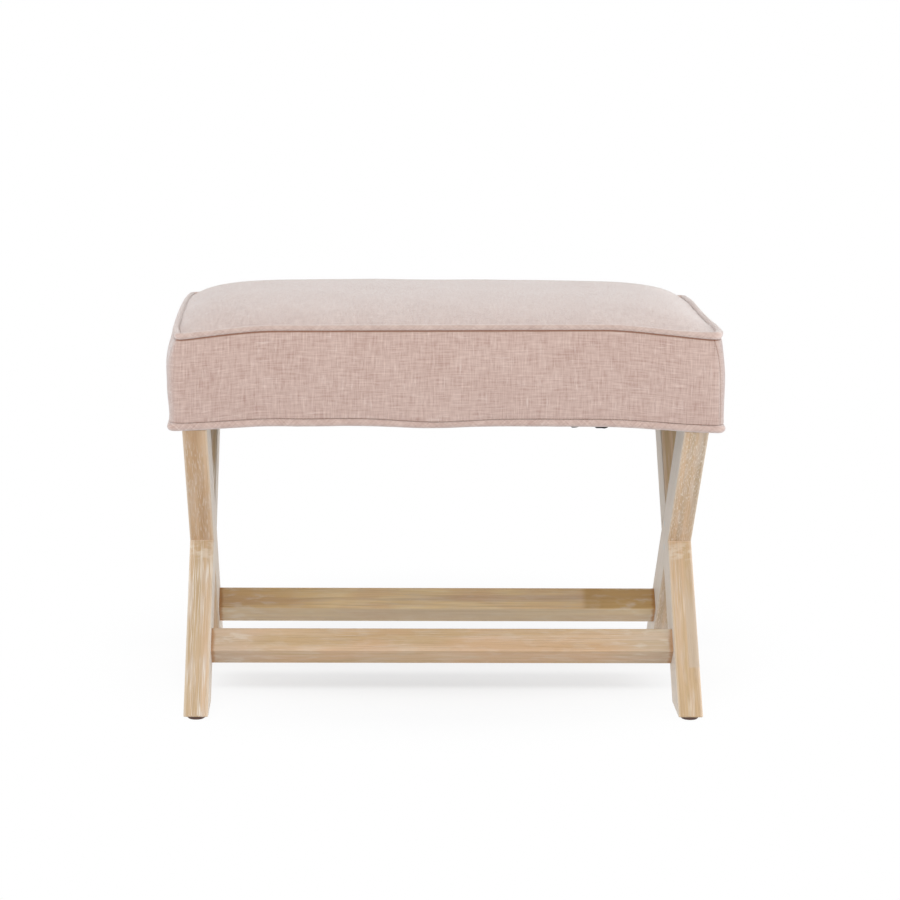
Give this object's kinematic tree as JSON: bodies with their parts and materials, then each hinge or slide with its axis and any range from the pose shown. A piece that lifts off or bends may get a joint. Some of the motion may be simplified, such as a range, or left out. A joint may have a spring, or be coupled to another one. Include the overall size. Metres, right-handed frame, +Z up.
{
  "type": "ottoman",
  "caption": "Upholstered ottoman: a crowned, corded linen seat on half-lapped X legs of limed oak tied by two stretchers.",
  "frame": {"origin": "on the floor under the middle of the seat", "axes": "+X along the width, +Y to the back, +Z up"},
  "size_m": [0.6244, 0.3824, 0.471],
  "materials": {
    "limed_oak": "pale oak, limewashed along the grain, matt lacquer",
    "frame_pine": "planed pine, unfinished",
    "plywood": "birch plywood, unfinished",
    "beech": "fluted beech dowel rod",
    "rose_linen": "dusty rose linen-look plain weave with slubs",
    "foam": "open-cell seat foam",
    "batting": "polyester batting",
    "black_cambric": "black nonwoven dust cloth",
    "glide_plastic": "dark brown moulded plastic",
    "zinc_steel": "zinc-plated steel"
  },
  "bodies": {
    "root": {"batting": "batting", "bottom_welt": "rose_linen", "centre_rail": "frame_pine", "centre_rail_screws": "zinc_steel", "corner_block_screws": "zinc_steel", "corner_blocks": "frame_pine", "cover_top": "rose_linen", "deck_screws": "zinc_steel", "dust_cover": "black_cambric", "dust_cover_staples": "zinc_steel", "foam_pad": "foam", "frame_dowels": "beech", "front_boxing": "rose_linen", "front_rail": "frame_pine", "front_stretcher": "limed_oak", "glide_nails": "zinc_steel", "lap_screws": "zinc_steel", "left_boxing": "rose_linen", "left_front_glide": "glide_plastic", "left_leg_front_foot": "limed_oak", "left_leg_rear_foot": "limed_oak", "left_rail": "frame_pine", "left_rear_glide": "glide_plastic", "leg_bolts": "zinc_steel", "leg_dowels": "beech", "leg_washers": "zinc_steel", "rear_boxing": "rose_linen", "rear_rail": "frame_pine", "rear_stretcher": "limed_oak", "right_boxing": "rose_linen", "right_front_glide": "glide_plastic", "right_leg_front_foot": "limed_oak", "right_leg_rear_foot": "limed_oak", "right_rail": "frame_pine", "right_rear_glide": "glide_plastic", "seat_deck": "plywood", "stretcher_dowels": "beech", "top_welt": "rose_linen"}
  },
  "joints": []
}
